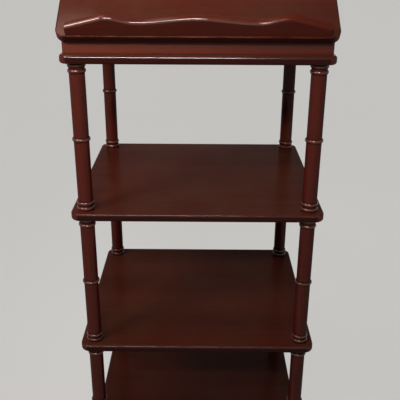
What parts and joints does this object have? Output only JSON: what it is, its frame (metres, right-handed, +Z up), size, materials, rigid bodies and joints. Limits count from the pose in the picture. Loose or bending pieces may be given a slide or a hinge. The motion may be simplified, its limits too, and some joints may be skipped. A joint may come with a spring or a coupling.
{
  "type": "book stand",
  "caption": "Floor-standing wooden book stand: a tilting reading slope with a wavy ledge, propped by a folding strut, above open shelves on turned posts.",
  "frame": {"origin": "on the floor, under the middle of the stand's outline seen from above, the ledge included", "axes": "+Z up; +X to the reader's right; +Y from the reader towards the back"},
  "size_m": [0.412, 0.3848, 1.0665],
  "materials": {
    "mahogany_board": "dark red mahogany, satin lacquer",
    "mahogany_post": "turned dark red mahogany, satin lacquer",
    "inner_wood": "mahogany, thin matt finish",
    "brass": "aged brass",
    "steel": "plain steel",
    "glide": "dark brown nylon"
  },
  "bodies": {
    "stand": {"shelf_lower": "mahogany_board", "shelf_middle": "mahogany_board", "shelf_upper": "mahogany_board", "top_board": "mahogany_board", "post_lower_front_left": "mahogany_post", "post_lower_front_right": "mahogany_post", "post_lower_rear_left": "mahogany_post", "post_lower_rear_right": "mahogany_post", "post_middle_front_left": "mahogany_post", "post_middle_front_right": "mahogany_post", "post_middle_rear_left": "mahogany_post", "post_middle_rear_right": "mahogany_post", "post_upper_front_left": "mahogany_post", "post_upper_front_right": "mahogany_post", "post_upper_rear_left": "mahogany_post", "post_upper_rear_right": "mahogany_post", "foot_front_left": "mahogany_post", "foot_front_right": "mahogany_post", "foot_rear_left": "mahogany_post", "foot_rear_right": "mahogany_post", "foot_glides": "glide", "studs_lower": "steel", "studs_middle": "steel", "studs_upper": "steel", "studs_top": "steel", "apron_front": "mahogany_board", "apron_rear": "mahogany_board", "apron_left": "mahogany_board", "apron_right": "mahogany_board", "apron_screws": "steel", "notched_strip_left": "inner_wood", "notched_strip_right": "inner_wood", "strip_screws": "brass", "rail_leaf_left": "brass", "rail_leaf_right": "brass", "slope_hinge_pins": "steel", "rail_leaf_screws": "brass"},
    "slope": {"reading_slope": "mahogany_board", "ledge": "mahogany_board", "ledge_screws": "steel", "slope_leaf_left": "brass", "slope_leaf_right": "brass", "slope_leaf_screws": "brass", "strut_plate_left": "brass", "strut_plate_right": "brass", "strut_plate_screws": "brass", "strut_hinge_pins": "steel"},
    "strut": {"strut_head_rail": "inner_wood", "strut_arm_left": "inner_wood", "strut_arm_right": "inner_wood", "strut_dowels": "inner_wood", "strut_foot_bar": "steel", "strut_leaf_left": "brass", "strut_leaf_right": "brass", "strut_leaf_screws": "brass"}
  },
  "joints": [
    {"name": "slope_tilt", "type": "hinge", "parent": "stand", "child": "slope", "pos_m": [0, -0.16072, 0.8423], "axis": [1, 0, 0], "range_deg": [-38, 14]},
    {"name": "strut_fold", "type": "hinge", "parent": "slope", "child": "strut", "pos_m": [0, -0.04249, 0.93467], "axis": [1, 0, 0], "range_deg": [-28, 76]}
  ],
  "couplings": [
    {"joint": "strut_fold", "follows": "slope_tilt", "ratio": -2}
  ]
}
